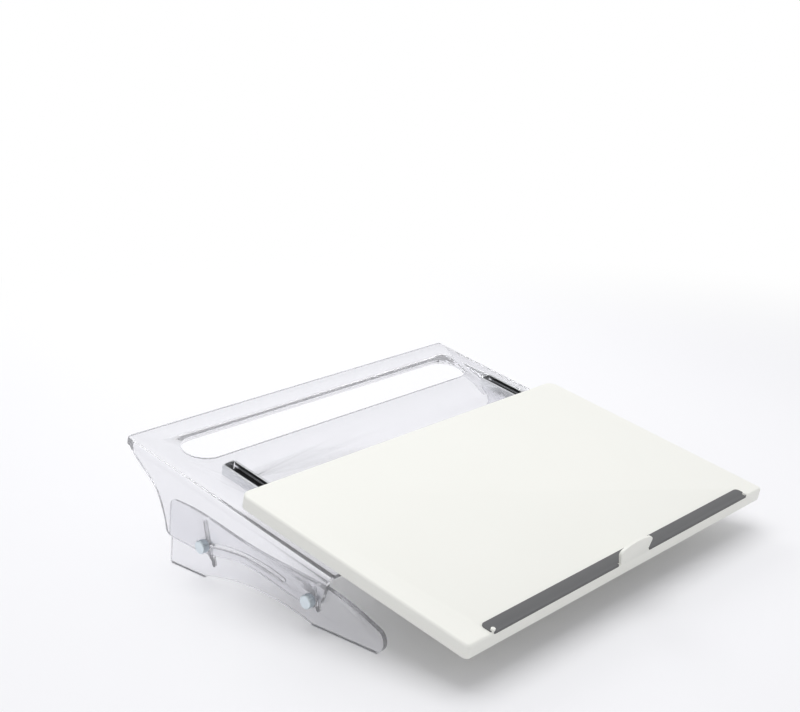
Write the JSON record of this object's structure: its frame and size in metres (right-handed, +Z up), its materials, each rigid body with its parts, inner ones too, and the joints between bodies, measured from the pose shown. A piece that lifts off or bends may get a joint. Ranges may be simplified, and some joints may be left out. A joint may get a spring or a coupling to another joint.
{
  "type": "sloping document board",
  "caption": "Sloping off-white document board that slides like a drawer over a clear acrylic shell; the shell tilts and rises on clear foot plates and is clamped by side knobs",
  "frame": {"origin": "on the desk, at the middle of the whole outline seen from above", "axes": "+X to the user's right along the board's width, +Y away from the user, +Z up"},
  "size_m": [0.5314, 0.478, 0.1258],
  "materials": {
    "clear_acrylic": "clear, polished, with bright polished edges",
    "board_white": "warm off-white, smooth, slight sheen",
    "grip_rubber": "dark grey, matte",
    "pad_rubber": "clear and milky, matte",
    "slide_steel": "bright zinc plated",
    "knob_metal": "satin with a cool tint",
    "bolt_steel": "plain",
    "cage_plastic": "black",
    "ball_steel": "polished"
  },
  "bodies": {
    "feet": {"left_foot_plate": "clear_acrylic", "right_foot_plate": "clear_acrylic", "left_front_pad": "pad_rubber", "left_rear_pad": "pad_rubber", "right_front_pad": "pad_rubber", "right_rear_pad": "pad_rubber"},
    "front_bolts": {"left_front_bolt": "bolt_steel", "left_front_washer": "bolt_steel", "right_front_bolt": "bolt_steel", "right_front_washer": "bolt_steel"},
    "rear_bolts": {"left_rear_bolt": "bolt_steel", "left_rear_washer": "bolt_steel", "right_rear_bolt": "bolt_steel", "right_rear_washer": "bolt_steel"},
    "shell": {"slope_shell": "clear_acrylic", "left_rail_channel": "slide_steel", "left_channel_screws": "bolt_steel", "right_rail_channel": "slide_steel", "right_channel_screws": "bolt_steel"},
    "board": {"board_tray": "board_white", "grip_strip": "grip_rubber", "left_rail_runner": "slide_steel", "left_runner_screws": "bolt_steel", "right_rail_runner": "slide_steel", "right_runner_screws": "bolt_steel"},
    "left_cage": {"left_ball_cage": "cage_plastic", "left_rail_balls": "ball_steel"},
    "left_front_knob": {"left_front_knob": "knob_metal"},
    "left_rear_knob": {"left_rear_knob": "knob_metal"},
    "right_cage": {"right_ball_cage": "cage_plastic", "right_rail_balls": "ball_steel"},
    "right_front_knob": {"right_front_knob": "knob_metal"},
    "right_rear_knob": {"right_rear_knob": "knob_metal"}
  },
  "joints": [
    {"name": "height_slide", "type": "slide", "parent": "feet", "child": "front_bolts", "axis": [0, 0.1736, 0.9848], "range_m": [-0.004, 0.008]},
    {"name": "shell_tilt", "type": "hinge", "parent": "front_bolts", "child": "shell", "pos_m": [0, -0.04574, 0.03146], "axis": [1, 0, 0], "range_deg": [-5, 3]},
    {"name": "rear_bolt_slide", "type": "slide", "parent": "front_bolts", "child": "rear_bolts", "axis": [0, 0.1736, 0.9848], "range_m": [-0.0131, 0.0079]},
    {"name": "board_slide", "type": "slide", "parent": "shell", "child": "board", "axis": [0, 0.9781, 0.2079], "range_m": [-0.07, 0.064]},
    {"name": "left_cage_roll", "type": "slide", "parent": "shell", "child": "left_cage", "axis": [0, 0.9781, 0.2079], "range_m": [-0.035, 0.032]},
    {"name": "right_cage_roll", "type": "slide", "parent": "shell", "child": "right_cage", "axis": [0, 0.9781, 0.2079], "range_m": [-0.035, 0.032]},
    {"name": "left_front_knob_turn", "type": "hinge", "parent": "front_bolts", "child": "left_front_knob", "pos_m": [-0.261, -0.04574, 0.03146], "axis": [-1, 0, 0], "continuous": true},
    {"name": "left_rear_knob_turn", "type": "hinge", "parent": "rear_bolts", "child": "left_rear_knob", "pos_m": [-0.261, 0.10726, 0.04146], "axis": [-1, 0, 0], "continuous": true},
    {"name": "right_front_knob_turn", "type": "hinge", "parent": "front_bolts", "child": "right_front_knob", "pos_m": [0.261, -0.04574, 0.03146], "axis": [1, 0, 0], "continuous": true},
    {"name": "right_rear_knob_turn", "type": "hinge", "parent": "rear_bolts", "child": "right_rear_knob", "pos_m": [0.261, 0.10726, 0.04146], "axis": [1, 0, 0], "continuous": true}
  ],
  "couplings": [
    {"joint": "rear_bolt_slide", "follows": "shell_tilt", "m_per_rad": 0.1482},
    {"joint": "left_cage_roll", "follows": "board_slide", "ratio": 0.5},
    {"joint": "right_cage_roll", "follows": "board_slide", "ratio": 0.5}
  ]
}
